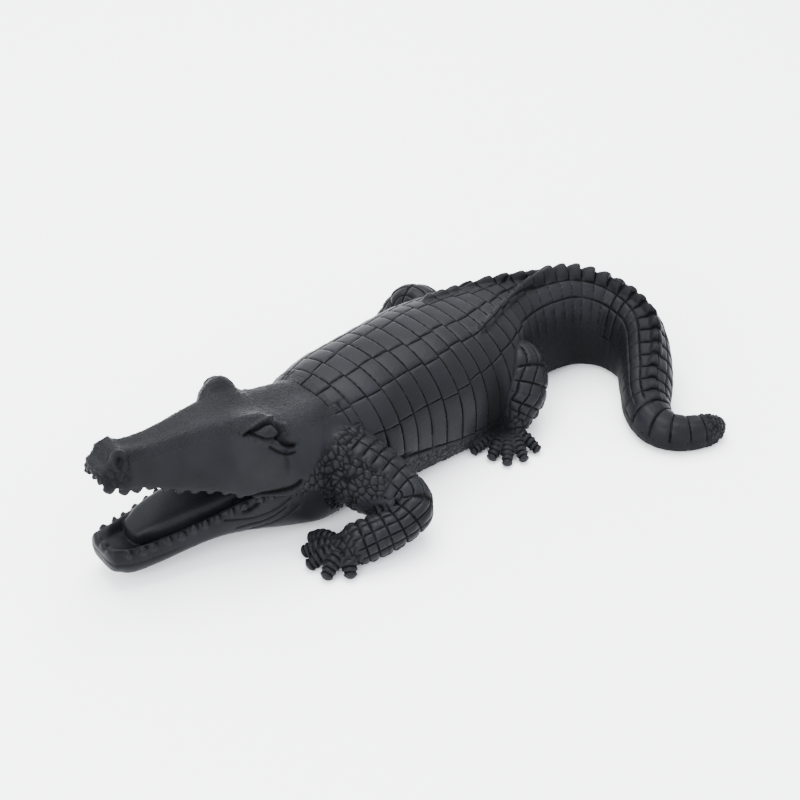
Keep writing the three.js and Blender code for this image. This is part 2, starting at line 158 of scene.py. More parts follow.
# Strokes are carved into the sides of the head: their points by x and z, half width, and height,
# which is negative for grooves. Those of the eye are drawn on an upright plane at a distance from
# the head's middle and laid on the head as they look from its front corner: SIGHT holds how far
# along and down each step inwards is seen.
SIGHT = {"plane": 16, "along": 0.77, "down": 0.95}
FAR_EYE = 0.45  # how deep the strokes of the far eye are, beside those of the near one
EYE_STROKES = [
    # upper lid and the raised rim over it
    ([
        (-83.3, 52.9), (-81.6, 53.3), (-79.9, 53.5), (-77, 53.9), (-74.4, 54.4), (-72.7, 54.2), (-71.3, 53.1),
        (-69.9, 51.2), (-68.7, 48.3), (-68.8, 46.4),
    ], 0.75, -1.2),
    ([
        (-84.6, 54.2), (-82.4, 55), (-79.4, 55.5), (-76, 56.2), (-72.6, 56.4), (-69.4, 54), (-67.2, 49.8),
        (-66.8, 47),
    ], 1, 1.1),
    # lower lid and the fold under it
    ([(-81.6, 53.2), (-79.2, 51.1), (-77.2, 49.5), (-74.3, 47.4), (-71.4, 46.4), (-69.2, 46.1)], 0.6, -0.9),
    ([(-81, 50.6), (-78.4, 48.6), (-75.2, 45.9), (-72, 44.6), (-69.5, 43.8)], 0.8, 0.5),
    # creases behind the eye
    ([(-69.2, 46.1), (-67.6, 43.4), (-65.6, 41.2), (-63.2, 40)], 1.1, -1.5),
    ([(-72.8, 43.4), (-70.7, 41.2), (-68.7, 39.4), (-66.2, 37.6), (-63.1, 37.1)], 0.6, -0.6),
    ([(-70, 42.9), (-68, 41), (-66, 39.3), (-63.4, 38.5)], 0.9, 0.6),
]
HEAD_STROKES = [
    # mouth corner, with the fold under it, and the notch of the lips
    ([
        (-85.5, 26.6), (-82.7, 27.4), (-79.9, 28), (-75.7, 27.9), (-72.7, 28), (-69.9, 28.2), (-67.6, 28.9),
        (-65.8, 29.8),
    ], 0.8, -1.5),
    ([(-80, 25.3), (-75.5, 25.6), (-71, 26), (-67, 27), (-63.5, 28.4)], 0.9, 0.5),
    ([(-86.1, 20.9), (-84.6, 21), (-82.6, 21.8), (-80.8, 22.9)], 0.7, -1.0),
    # folds of the throat
    ([(-92.8, 18.6), (-87.8, 18.2), (-83.4, 17.8), (-78.4, 18.4), (-73.5, 20), (-69.1, 22.6)], 0.35, -0.45),
    ([(-89.2, 14.6), (-84.1, 15), (-79.7, 15.2), (-75.3, 16.6), (-71, 19)], 0.35, -0.5),
    ([(-84, 12), (-79.7, 12.6), (-74.9, 13.6), (-70.2, 15.6), (-66.2, 18.4)], 0.35, -0.4),
]
NOSTRIL = {"x": -126, "side": 5.9, "z": 52.8, "radius": 1.1, "depth": 2.6, "rim": 2.4, "rise": 0.8}
# The snout's knob: the dip between the nostrils, and its rough skin
DIP = {"x": -129.8, "z": 52.3, "long": 2.4, "tall": 2.8, "depth": 0.9}
KNOB = {"from": (-121, -125), "low": (43, 46), "below_top": 3, "pebble": 2.8, "rough": 0.5}
LIP_LINE = {"below": 3.7, "width": 0.45, "depth": 0.3, "from": (-106, -114)}

# Limbs: the points of the leg with its thickness, the palm with the thickness of its toes, and the
# tips of the toes
LIMBS = [
    {
        "leg": [
            (-46, -9, 27, 12), (-38, -26, 20, 13.4), (-32, -39, 15.6, 11.2), (-31, -46, 13.5, 8.7),
            (-37.6, -48, 11, 7.2), (-46.2, -46.6, 9, 7.6), (-53.6, -44.4, 7.4, 8.4, 7),
            (-57.6, -42.8, 5.6, 7.4, 5.4),
        ],
        "palm": (-57.4, -42.2, 5.6, 3),
        "toes": [(-62.4, -26), (-69.2, -30.8), (-72.2, -38.2), (-70.7, -47), (-62.8, -52)],
    },
    {
        "leg": [
            (-44, 8, 22, 10), (-37, 21, 17.5, 10), (-32, 30, 12.5, 8.7), (-31, 35.5, 9.5, 7.4),
            (-38, 39, 8, 7), (-47, 39.5, 7.6, 7.2), (-56, 38, 7, 8, 6.4), (-60, 37.4, 5, 7.6, 4.8),
        ],
        "palm": (-59, 37.6, 5, 2.8),
        "toes": [(-65, 21.5), (-72, 26), (-75.5, 33.5), (-74, 42), (-66, 47)],
    },
    {
        "leg": [
            (36, 4, 18, 12), (46.5, -6, 21, 11.5), (48.8, -13, 20, 10.8), (44.5, -18.3, 14, 10.1),
            (40, -20.4, 8.5, 8, 7), (36, -22.4, 5, 6.4, 5),
        ],
        "palm": (35.5, -22.2, 4.6, 2.4),
        "toes": [(16.5, -23), (20, -30.5), (23, -37), (30.5, -39), (39, -37.5)],
    },
    {
        "leg": [
            (35, 16, 20, 12), (37.5, 31, 25, 10.5), (36.5, 39.5, 25.3, 9.7), (30.5, 43.5, 17, 8.5),
            (25, 45.5, 8, 8, 7), (19, 45, 4, 6.8, 4.8),
        ],
        "palm": (18.5, 45, 4, 2.5),
        "toes": [(4.5, 41.5), (2.5, 46.5), (5.5, 51.5), (12, 55.3), (20.5, 56.3)],
    },
]
TOE = {"taper": 0.74, "tip_height": 2, "ring": 0.42, "ring_pitch": 1.9, "ringed": (1, 2.5)}
# Squares of the legs: their pitch along and round, smaller near the foot, and where they begin on the
# fore and hind legs. The side of the upper arm that faces forwards has pebbles instead.
SQUARES = {
    "pitch": 4.7, "turn": 30, "foot": 13, "foot_pitch": 0.82, "from": (12, 8), "arm": 36,
    "front": (15, 35),
}
# Where the forms run into each other softly: place and radius
SOFT = [
    ((-46, -18, 28), 15), ((-45, 17, 24), 14), ((41, -8, 22), 11), ((36, 26, 24), 11),
    ((-46, 0, 40), 20), ((-50, -22, 26), 13), ((-50, 18, 26), 13),
]


# Curves


def smooth(points, t):
    """A curve through the points, at each t from 0 to 1: every span is a cubic."""
    p = np.asarray(points, float)
    p = np.vstack([2 * p[0] - p[1], p, 2 * p[-1] - p[-2]])
    at = np.clip(np.asarray(t, float), 0, 1) * (len(p) - 3)
    i = np.minimum(at.astype(int), len(p) - 4)
    w = (at - i)[..., None]
    a, b, c, d = p[i], p[i + 1], p[i + 2], p[i + 3]
    return cubic(a, b, c, d, w)


def cubic(a, b, c, d, w):
    """From b at w = 0 to c at w = 1, with a and d as the points before and after."""
    return 0.5 * (2 * b + (c - a) * w + (2 * a - 5 * b + 4 * c - d) * w**2 + (3 * b - a - 3 * c + d) * w**3)


def unit(v):
    return v / np.maximum(np.linalg.norm(v, axis=-1, keepdims=True), 1e-9)


def fade(x, start, end):
    """0 below start, 1 past end, smooth between; start may be the larger."""
    t = np.clip((x - start) / (end - start), 0, 1)
    return t * t * (3 - 2 * t)


class Line:
    """A curve through points in space, measured by its length."""

    def __init__(self, points, steps=400):
        self.raw = np.asarray(points, float)
        self.t = np.linspace(0, 1, steps)
        self.at = smooth(self.raw, self.t)
        place = self.at[:, :3]
        self.along = np.concatenate([[0], np.cumsum(np.linalg.norm(np.diff(place, axis=0), axis=1))])
        self.length = self.along[-1]
        self.forward = unit(np.gradient(place, axis=0))

    def value(self, along):
        """The curve's columns at a distance along it."""
        return smooth(self.raw, np.interp(along, self.along, self.t))

    def direction(self, along):
        return unit(np.stack([np.interp(along, self.along, c) for c in self.forward.T], -1))

    def nearest(self, points, flat=False):
        """The distance along the curve to the place nearest to each point."""
        n = 2 if flat else 3
        place, forward = self.at[:, :n], self.forward[:, :n]
        found = np.empty(len(points))
        for i in range(0, len(points), 20000):
            p = points[i : i + 20000, :n]
            far = (p**2).sum(1)[:, None] - 2 * p @ place.T + (place**2).sum(1)
            k = far.argmin(1)
            found[i : i + 20000] = self.along[k] + ((p - place[k]) * forward[k]).sum(1)
        return np.clip(found, 0, self.length)


body_line = Line([(x, y, 0, half, back, belly) for x, y, half, back, belly in BODY], 800)


def power(value, n):
    """A sine or cosine for a section of squareness n."""
    return np.sign(value) * np.abs(value) ** (2 / n)


# Meshes


def shell(name, steps, around, surface):
    """A closed skin: surface gives the place for each share of the way along and round."""
    bm = bmesh.new()
    bmesh.ops.create_grid(bm, x_segments=steps, y_segments=around, size=1)
    grid = np.array([v.co[:] for v in bm.verts])
    u, v = (grid[:, 0] + 1) / 2, (grid[:, 1] + 1) / 2
    place = surface(u, v * 2 * np.pi)
    for vert, co in zip(bm.verts, place):
        vert.co = co
    bmesh.ops.remove_doubles(bm, verts=bm.verts, dist=1e-4)
    bmesh.ops.recalc_face_normals(bm, faces=bm.faces)
    mesh = bpy.data.meshes.new(name)
    bm.to_mesh(mesh)
    bm.free()
    return mesh


def ball(name, centre, radii, n=2):
    """A ball, drawn out to points where n is below 2."""

    def surface(u, a):
        polar = u * np.pi
        ring = np.stack([np.cos(polar), np.sin(polar) * np.cos(a), np.sin(polar) * np.sin(a)], -1)
        return np.asarray(centre) + power(ring, n) * np.asarray(radii)

    return shell(name, 24, 32, surface)


def sized(points):
    """A form's points with a thickness both across and up."""
    return [(*p[:4], p[4] if len(p) > 4 else p[3]) for p in points]


def tube(name, points, around=32, pitch=0.8, swell=None, n=2):
    """A tapered tube with round ends through points, each with its thickness across and up."""
    line = Line(sized(points))
    ends = [line.raw[i, 3:].mean() * 0.7 for i in (0, -1)]
    steps = max(12, int((line.length + sum(ends)) / pitch))

    def surface(u, a):
        s = u * (line.length + sum(ends)) - ends[0]
        along = line.direction(s)
        across = unit(np.cross([0, 0, 1], along))
        above = np.cross(along, across)
        value = line.value(np.clip(s, 0, line.length))
        over = np.where(s < 0, -s / ends[0], np.maximum(0, s - line.length) / ends[1])
        close = np.sqrt(np.maximum(0, 1 - np.minimum(1, over) ** 2))
        beyond = np.minimum(s, 0) + np.maximum(0, s - line.length)
        more = 0 if swell is None else swell(s)
        wide = (value[:, 3] + more) * close
        tall = (value[:, 4] + more) * close
        place = value[:, :3] + along * beyond[:, None]
        side, up = power(np.cos(a), n) * wide, power(np.sin(a), n) * tall
        return place + across * side[:, None] + above * up[:, None]

    return shell(name, steps, around, surface)


# Body and tail


def body_section(along):
    """The body's frame and sizes at a distance along it."""
    value = body_line.value(along)
    forward = body_line.direction(along)
    side = np.stack([forward[:, 1], -forward[:, 0], np.zeros(len(along))], -1)
    return value[:, :3], forward, side, value[:, 3], value[:, 4], value[:, 5]


def underside(along):
    """How square the section is below its widest place."""
    return UNDER["body"] - UNDER["tail_less"] * fade(along, UNDER["from"], UNDER["to"])


def body_surface(along, a):
    """Places on the body's skin at a distance along it and an angle from the top of the back."""
    place, forward, side, half, back, belly = body_section(along)
    over = np.clip((along - body_line.length + TAIL_END["round"]) / TAIL_END["round"], 0, 1)
    close = np.sqrt(np.maximum(0, 1 - over**2))
    middle = belly + (back - belly) * WAIST
    above = np.cos(a) >= 0
    tall = np.where(above, back - middle, middle - belly) * close
    n = np.where(above, UPPER, underside(along))
    across = power(np.sin(a), n) * half * close
    up = power(np.cos(a), n) * tall
    at = place + side * across[:, None] + forward * (over**2 * TAIL_END["reach"])[:, None]
    at[:, 2] = middle + up
    return at


def body():
    def surface(u, a):
        start = np.clip(u / 0.004, 0, 1)[:, None]
        at = body_surface(u * body_line.length, a)
        inner = np.array([BODY[0][0], BODY[0][1], 27])
        return np.where(start < 1, inner, at)

    return shell("body", 420, 120, surface)


def body_top(along, offset):
    """Height of the back at an offset to the left of its middle."""
    _, _, _, half, back, belly = body_section(along)
    middle = belly + (back - belly) * WAIST
    return middle + (back - middle) * (1 - np.minimum(1, np.abs(offset / half)) ** UPPER) ** (1 / UPPER)


def ridge(name, start, end, offset, height, wide, notch, n):
    """A crest along the back, a scute to each row: it rises towards the tail's tip and ends steeply."""

    def surface(u, a):
        s = start + u * (end - start)
        place, _, side, *_ = body_section(s)
        w = offset(s)
        share = np.modf(rows(s)[0])[0]
        tooth = np.minimum(1, share / 0.6) ** 0.8 * fade(share, 1.0, 0.88)
        ends = fade(s, start, start + 5) * fade(s, end, end - 5)
        tall = height(s) * ends * (1 - notch + notch * tooth)
        across = power(np.cos(a), n) * wide(s) * (0.8 + 0.2 * tooth) * (0.25 + 0.75 * ends)
        up = power(np.sin(a), n) * np.where(np.sin(a) > 0, tall, 3) - 0.2
        at = place + side * (w + across)[:, None]
        at[:, 2] = body_top(s, w) + up
        return at

    return shell(name, int((end - start) / 0.35), 28, surface)


def crests():
    """Both crests of the hips, the near one smoother, and the crest of the tail."""

    def offset(side):
        points = np.array(CREST[side], float).T
        return lambda s: np.interp(s, *points)

    def hip(side, low, wide, notch):
        start, end = CREST[side][0][0], CREST[side][-1][0]
        return ridge(
            f"{side}_crest", start, end, offset(side), lambda s: low + 1.5 * fade(s, 125, 156),
            lambda s: wide + 0 * s, notch, n=1.8,
        )

    def tail_height(s):
        return CREST["height"] * fade(s, start, start + 14) * np.minimum(1, (end + 8 - s) / CREST["fade"])

    start, end = CREST["tail"][0][0], CREST["tail"][-1][0]
    tail = ridge(
        "tail_crest", start, end, offset("tail"), tail_height, lambda s: 4 - 1.4 * fade(s, 170, 205),
        notch=0.62, n=1.6,
    )
    near = hip("near", low=2.9, wide=2.1, notch=0.04)
    far = hip("far", low=2.3, wide=2.1, notch=0.4)
    return [near, far, tail]


# Head


def stations(table):
    """A table of stations as a curve of its columns over x."""
    fine = smooth(table, np.linspace(0, 1, 600))
    return lambda x: np.stack([np.interp(x, fine[:, 0], c) for c in fine.T], -1)


skull_at = stations(SKULL)
brow_at = stations(BROW)
jaw_at = stations(JAW)


def mirrored_section(a, columns):
    """Side and height round a section: columns are the left half's points, top first, per vertex."""
    turn = np.where(a > np.pi, 2 * np.pi - a, a) / np.pi
    points = np.stack([np.stack(np.broadcast_arrays(*c), -1) for c in columns], 1)
    n = points.shape[1]
    ghost = points[:, 1] * [-1, 1]
    tail = points[:, -2] * [-1, 1]
    p = np.concatenate([ghost[:, None], points, tail[:, None]], 1)
    at = turn * (n - 1)
    i = np.minimum(at.astype(int), n - 2)
    w = (at - i)[:, None]
    k = np.arange(len(a))
    b, c, d, e = p[k, i], p[k, i + 1], p[k, i + 2], p[k, i + 3]
    out = cubic(b, c, d, e, w)
    side = np.where(a > np.pi, -1, 1)
    return out[:, 0] * side, out[:, 1]


def rounded_end(u, low, high, round_low):
    """x along a form, and how far its section is closed at the low end."""
    x = low - round_low + u * (high - low + round_low)
    over = np.clip((low - x) / round_low, 0, 1)
    return x, np.sqrt(np.maximum(0, 1 - over**2))


def skull():
    """The upper jaw and the skull, with the brows as a rise of its section."""

    def surface(u, a):
        x, close = rounded_end(u, SKULL[0][0], SKULL[-1][0], 2.7)
        close = close * np.where(u > 0.999, 0, 1)
        _, y, crown, lip, top, edge = skull_at(np.maximum(x, SKULL[0][0])).T
        tall = top - edge
        lift = fade(x, -128, -118) * 1.2
        brow = brow_at(x)[:, 1]
        columns = [
            (0 * x, top - lift * 0.4),
            (crown * 0.6, top - lift * 0.1 + 0.2 * brow),
            (crown * 0.97 + 0.18 * brow, top - tall * 0.12 + brow),
            ((crown + lip) / 2 - 0.4 + 0.55 * brow, top - tall * 0.45 + 0.5 * brow),
            (lip * 0.96, edge + tall * 0.2),
            (lip * 1.0, edge + 0.8),
            (lip - 2.6, edge + 0.4),
            (lip * 0.4, edge + 2.2),
            (0 * x, edge + 2.6),
        ]
        side, z = mirrored_section(a, columns)
        middle = edge + tall * 0.52
        return np.stack([x, y - side * close, middle + (z - middle) * close], -1)

    return shell("skull", 260, 96, surface)


def jaw():
    """The lower jaw with the trough that the tongue lies in."""

    def surface(u, a):
        x, close = rounded_end(u, JAW[0][0], JAW[-1][0], 2.7)
        close = close * np.where(u > 0.999, 0, 1)
        _, y, half, rim, under = jaw_at(np.maximum(x, JAW[0][0])).T
        tall = rim - under
        sunk = fade(x, *TROUGH["from"]) * fade(x, TROUGH["to"] + 4, TROUGH["to"])
        floor = rim - TROUGH["depth"] * sunk
        inner = half - TROUGH["wall"] - 3 * fade(x, -124, -132)
        columns = [
            (0 * x, floor),
            (inner * 0.55, floor),
            (inner * 0.86, floor + 0.5 * sunk),
            (inner, rim - 0.3),
            (half - 3, rim + 0.8),
            (half - 1.3, rim - 0.6),
            (half, rim - 3.4),
            (half * 0.97, under + tall * 0.35),
            (half * 0.76, under + tall * 0.07),
            (half * 0.36, under),
            (0 * x, under),
        ]
        side, z = mirrored_section(a, columns)
        middle = under + tall * 0.5
        return np.stack([x, y - side * close, middle + (z - middle) * close], -1)

    return shell("jaw", 220, 110, surface)


def teeth():
    """Blunt teeth along both jaws: three large ones at the front above, uneven ones inside the lips."""
    meshes = []
    rng = np.random.default_rng(5)
    for i in range(11):
        x = -131 + i * 5
        _, y, _, lip, _, edge = skull_at(np.array([x]))[0]
        for side in (-1, 1):
            name, at = f"upper_tooth_{i}_{side}", (x, y + side * (lip - 1.5))
            if i < 3:
                meshes.append(ball(name, (*at, edge), (2.9, 1.8, 2.9), 1.4))
            else:
                at = (*at, edge + rng.uniform(0.2, 0.8))
                meshes.append(ball(name, at, (rng.uniform(1.9, 2.6), 1.3, 1.5)))
    for i in range(12):
        x = -128 + i * 4.8 + rng.uniform(-0.7, 0.7)
        _, y, half, rim, _ = jaw_at(np.array([x]))[0]
        for side in (-1, 1):
            at = (x, y + side * (half - rng.uniform(1.2, 1.7)), rim - rng.uniform(0, 0.8) - (side > 0) * 0.6)
            radii = (rng.uniform(1.2, 2.2), 1.4, rng.uniform(1.9, 2.8))
            meshes.append(ball(f"lower_tooth_{i}_{side}", at, radii, 1.4))
    for side in (-1, 0, 1):
        meshes.append(ball(f"front_tooth_{side}", (-133, 0.5 + side * 3.6, 45.8), (1.2, 1.5, 1.5)))
        meshes.append(ball(f"chin_tooth_{side}", (-132.6, 0.5 + side * 4.2, 14.2), (1.6, 2, 1.7)))
    return meshes


def eyes():
    return [
        ball(f"eyeball_{side}", (EYE["x"], EYE["y"] + side * EYE["apart"] / 2, EYE["z"]), EYE["radii"])
        for side in (-1, 1)
    ]


# Limbs


def ring_count(s, length):
    """Rings counted along a toe, so that a whole one ends at its tip."""
    return (s - length) / TOE["ring_pitch"] + 20.5


def rings(s, length):
    """The ridges round a toe, from its knuckle on."""
    return TOE["ring"] * (np.abs(np.sin(np.pi * ring_count(s, length))) * 2 - 1) * fade(s, *TOE["ringed"])


def toe(palm, tip):
    """The points of a toe with its thickness."""
    (x, y, z, radius), (tip_x, tip_y) = palm, tip
    at = [(x + (tip_x - x) * k, y + (tip_y - y) * k) for k in (0.2, 0.6, 0.93)]
    return [
        (*at[0], z, radius),
        (*at[1], z * 0.8 + 0.6, radius),
        (*at[2], TOE["tip_height"], radius * TOE["taper"]),
    ]


def limbs():
    meshes = []
    for i, limb in enumerate(LIMBS):
        meshes.append(tube(f"leg_{i}", limb["leg"], 40, 0.8))
        for j, tip in enumerate(limb["toes"]):
            points = toe(limb["palm"], tip)
            length = Line(sized(points), 60).length
            meshes.append(tube(f"toe_{i}_{j}", points, 24, 0.35, lambda s: rings(s, length)))
    return meshes


# One skin over all the forms


def joined(name, meshes):
    """The forms as one object."""
    bm = bmesh.new()
    for mesh in meshes:
        bm.from_mesh(mesh)
        bpy.data.meshes.remove(mesh)
    mesh = bpy.data.meshes.new(name)
    bm.to_mesh(mesh)
    bm.free()
    piece = bpy.data.objects.new(name, mesh)
    bpy.context.collection.objects.link(piece)
    return piece


def apply(piece):
    """The piece's modifiers, made part of its mesh."""
    graph = bpy.context.evaluated_depsgraph_get()
    mesh = bpy.data.meshes.new_from_object(piece.evaluated_get(graph))
    piece.modifiers.clear()
    old, piece.data = piece.data, mesh
    bpy.data.meshes.remove(old)


def corners(piece):
    co = np.empty(len(piece.data.vertices) * 3)
    piece.data.vertices.foreach_get("co", co)
    return co.reshape(-1, 3)


def set_corners(piece, co):
    piece.data.vertices.foreach_set("co", np.ascontiguousarray(co, dtype=np.float64).ravel())
    piece.data.update()


def normals(piece):
    n = np.empty(len(piece.data.vertices) * 3)
    piece.data.vertices.foreach_get("normal", n)
    return n.reshape(-1, 3)


def edges(piece):
    e = np.empty(len(piece.data.edges) * 2, dtype=np.int64)
    piece.data.edges.foreach_get("vertices", e)
    return e.reshape(-1, 2)


def read_attribute(piece, name):
    values = np.empty(len(piece.data.vertices) * 3)
    piece.data.attributes[name].data.foreach_get("vector", values)
    return values.reshape(-1, 3)


def add_attribute(piece, name, values):
    layer = piece.data.attributes.new(name, "FLOAT_VECTOR", "POINT")
    layer.data.foreach_set("vector", np.ascontiguousarray(values, dtype=np.float64).ravel())


def relax(co, pairs, strength, rounds):
    """Draws each corner towards the mean of its neighbours, by its own strength."""
    a, b = pairs.T
    count = np.bincount(a, minlength=len(co)) + np.bincount(b, minlength=len(co))
    for _ in range(rounds):
        total = [
            sum(np.bincount(at, weights=co[other, k], minlength=len(co)) for at, other in ((a, b), (b, a)))
            for k in range(3)
        ]
        mean = np.stack(total, -1) / np.maximum(count, 1)[:, None]
        co = co + (mean - co) * strength[:, None]
    return co


# Where each corner lies on the forms


limb_lines = [Line(sized(limb["leg"]), 200) for limb in LIMBS]
toe_lines = [[Line(sized(toe(limb["palm"], tip)), 60) for tip in limb["toes"]] for limb in LIMBS]


def body_place(co):
    """Distance along the body, signed angle from the top of the back, and height over its skin."""
    along = body_line.nearest(co, flat=True)
    place, forward, side, half, back, belly = body_section(along)
    w = ((co - place) * side).sum(1)
    middle = belly + (back - belly) * WAIST
    up = co[:, 2] - middle
    above = up >= 0
    tall = np.where(above, back - middle, middle - belly)
    n = np.where(above, UPPER, underside(along))
    sine = np.abs(w / half) ** (n / 2)
    cosine = np.abs(up / tall) ** (n / 2) * np.sign(up)
    angle = np.degrees(np.arctan2(sine, cosine)) * np.sign(w)
    out = (np.hypot(sine, cosine) ** (2 / n) - 1) * np.minimum(half, tall)
    return along, angle, out, half


def limb_place(co, line):
    """Distance along a leg or toe, angle round it from its top, and height over its skin."""
    along = line.nearest(co)
    value = line.value(along)
    forward = line.direction(along)
    across = unit(np.cross([0, 0, 1], forward))
    away = co - value[:, :3]
    side, up = (away * across).sum(1), (away * np.cross(forward, across)).sum(1)
    side_share, up_share = side / value[:, 3], up / value[:, 4]
    share = np.maximum(np.hypot(side_share, up_share), 1e-6)
    out = np.linalg.norm(away, axis=1) - np.hypot(side, up) / share
    return along, np.degrees(np.arctan2(side_share, up_share)), out, value[:, 3]


def row_stops():
    """Distances along the body at which its rows of plates meet."""
    stops = list(ROWS_FROM)
    while stops[-1] < body_line.length:
        stops.append(stops[-1] + [pitch for start, pitch in ROW_PITCHES if stops[-1] >= start][-1])
    return np.array(stops)


ROW_STOPS = row_stops()


def rows(along):
    """Rows counted along the body, and the width of each."""
    k = np.clip(np.searchsorted(ROW_STOPS, along, side="right") - 1, 0, len(ROW_STOPS) - 2)
    gap = np.diff(ROW_STOPS)[k]
    return k + (along - ROW_STOPS[k]) / gap, gap


def columns(along, angle, half):
    """Columns counted round the body, the width of each, and the angle of the lowest line."""
    left, right = (
        np.stack([np.interp(along, LINES["at"], c) for c in np.array(LINES[side], float).T], -1)
        for side in ("left", "right")
    )
    ends = np.full((len(along), 1), 180)
    step = LINES["uneven"] * (scatter(np.floor(rows(along)[0]), 4) - 0.5) * fade(along, 150, 130)
    step = step[:, None] * [1, 1, 1, 0]
    lines = np.hstack([-ends, step[:, ::-1] - right[:, ::-1], left + step, ends])
    k = (angle[:, None] > lines[:, 1:-1]).sum(1)
    each = np.arange(len(along))
    low, high = lines[each, k], lines[each, k + 1]
    crest = fade(along, 140, 150) * (np.abs(angle) < 11)
    far = 400 * np.maximum(crest, fade(along, *LINES["end"]))  # no line is near there
    width = np.radians(high - low) * half * 1.15 + far
    return k + (angle - low) / (high - low), width, left[:, -1]


# The skin at a corner is the row it lies on and the rows' pitch, the column and its width, how far
# plates and how far pebbles show, the size of the pebbles, and the number of the plate.
PLATES = 4  # where the plates stand among these


def body_skin(co, along, angle, half):
    """The skin of the body and the tail."""
    turn = np.abs(angle)
    row, row_gap = rows(along)
    column, column_gap, lowest = columns(along, angle, half)
    neck = (along < ROWS_FROM[1]) & (turn > 26)
    row, row_gap, column, column_gap = (
        np.where(neck, value * times, value)
        for value, times in ((row, 2), (row_gap, 0.5), (column, 2), (column_gap, 0.5))
    )
    from_tip = body_line.length - along
    tail = fade(along, *TAIL_FROM)
    first, second = ROWS_FROM
    over = fade(turn, *NECK["turn"][::-1]) * fade(along, first - 0.6, first)
    squares = fade(along, first, first + 1) * fade(turn, *NECK["turn"]) * fade(turn, *NECK["squares_end"])
    full = fade(along, second - 0.6, second)
    below = fade(turn, lowest + 3, lowest)
    plates = np.maximum.reduce([over, squares * NECK["shown"], full])
    plates = plates * fade(from_tip, 5, 9) * (below + 0.3 * tail * (1 - below))
    inner = fade(angle, *BARE["turn"]) * fade(along, *BARE["end"])
    upper = fade(along, *BARE["upper"][:2]) * fade(along, *BARE["upper"][2:])
    bare = inner * (upper + fade(along, *BARE["lower"]))
    plates *= 1 - bare * (0.1 + 0.8 * fade(turn, *BARE["low"]))
    row_gap = row_gap * (1 + 4 * bare)
    pebbles = np.maximum.reduce([
        neck_pebbles(co, along, turn),
        fade(turn, lowest, lowest + 4) * fade(along, 34, 38) * (1 - tail) * 0.6,
        fade(from_tip, *PEBBLES["tip_from"]),
    ])
    size = np.where(along < 39, PEBBLES["neck"], PEBBLES["belly"])
    size = np.where(from_tip < 20, PEBBLES["tip"], size)
    number = np.floor(row) * 13 + np.floor(column) * 7
    return [row, row_gap, column, column_gap, plates, pebbles, size, number]


def neck_pebbles(co, along, turn):
    """How far the pebbles show in a band under the neck and before the shoulders."""
    edge = PEBBLES["edge"] + PEBBLES["slope"] * (co[:, 0] + 60)
    begin, end, full = PEBBLES["band"]
    band = fade(co[:, 2], edge, edge - begin) * fade(co[:, 2], edge - end, edge - full)
    shown = np.where(along < 24, band, 1) * fade(along, 2, 8) * fade(along, 39, 37)
    return shown * np.maximum(fade(turn + (along - 28) * 1.6, 60, 72), fade(along, 24, 20))


def leg_skin(i, line, along, angle, radius):
    """Squares over a leg, with pebbles at its root, before the upper arm and on the back of the foot."""
    foot = along > line.length - SQUARES["foot"]
    pitch = SQUARES["pitch"] * np.where(foot, SQUARES["foot_pitch"], 1)
    turn = SQUARES["turn"] + 0 * along
    fore = i < 2
    front = angle * (-1 if i == 0 else 1)
    start = SQUARES["from"][0 if fore else 1]
    arm = SQUARES["arm"]
    before = fade(front, *SQUARES["front"]) * fade(along, arm, arm - 6) if fore else 0 * along
    shown = fade(along, start, start + 2) * (1 - before)
    row, column = along / pitch, (angle + 180) / turn
    number = np.floor(row) * 11 + np.floor(column) * 5 + i * 31
    shown = shown * fade(along, line.length - 3, line.length - 4.5)
    pebbles = (1 - shown) * fade(along, 4, 9)
    width = radius * np.radians(turn)
    return [row, pitch, column, width, shown, pebbles, 0 * row + PEBBLES["neck"], number]


def toe_skin(i, j, line, along):
    """Rings round a toe, without columns."""
    row = ring_count(along, line.length)
    flat = 0 * row
    shown = fade(along, *TOE["ringed"])
    number = np.floor(row) + i * 17 + j * 5
    pitch, size = flat + TOE["ring_pitch"], flat + PEBBLES["palm"]
    return [row, pitch, flat + 0.5, flat + 9, shown, 1 - shown, size, number]


def lay_out(co):
    """The skin over the whole figure: at each corner, that of the form whose surface it is nearest to."""
    along, angle, best, half = body_place(co)
    fields = body_skin(co, along, angle, half)
    forms = [(line, i, None) for i, line in enumerate(limb_lines)]
    forms += [(line, i, j) for i, limb in enumerate(toe_lines) for j, line in enumerate(limb)]
    for line, i, j in forms:
        reach = 16 if j is None else 9
        low, high = line.at[:, :3].min(0) - reach, line.at[:, :3].max(0) + reach
        near = np.flatnonzero(((co > low) & (co < high)).all(1))
        along, angle, out, radius = limb_place(co[near], line)
        skin = leg_skin(i, line, along, angle, radius) if j is None else toe_skin(i, j, line, along)
        mine = out < best[near]
        edge = fade(np.abs(out - best[near]), 0.1, 1.1)
        for k, (field, value) in enumerate(zip(fields, skin)):
            shown = edge if k == PLATES else 1
            field[near] = np.where(mine, value * shown, field[near] * shown)
        best[near] = np.minimum(best[near], out)
    row, row_gap, column, column_gap, plates, pebbles, size, number = fields
    plates = plates * (1 - fade(np.abs(best), 1.8, 3.0)) * fade(co[:, 2], 0.4, 1.6)
    reach = 9 * fade(co[:, 0], -40, -50)
    pebbles = pebbles * (1 - fade(np.abs(best) - reach, 2.2, 3.4)) * fade(co[:, 2], 0.4, 1.2)
    return row, row_gap, column, column_gap, plates, pebbles, size, number


def scatter(number, seed):
    """A fixed value from 0 to 1 for each number."""
    return np.modf(np.abs(np.sin(number * 12.9898 + seed * 78.233) * 43758.5453))[0]


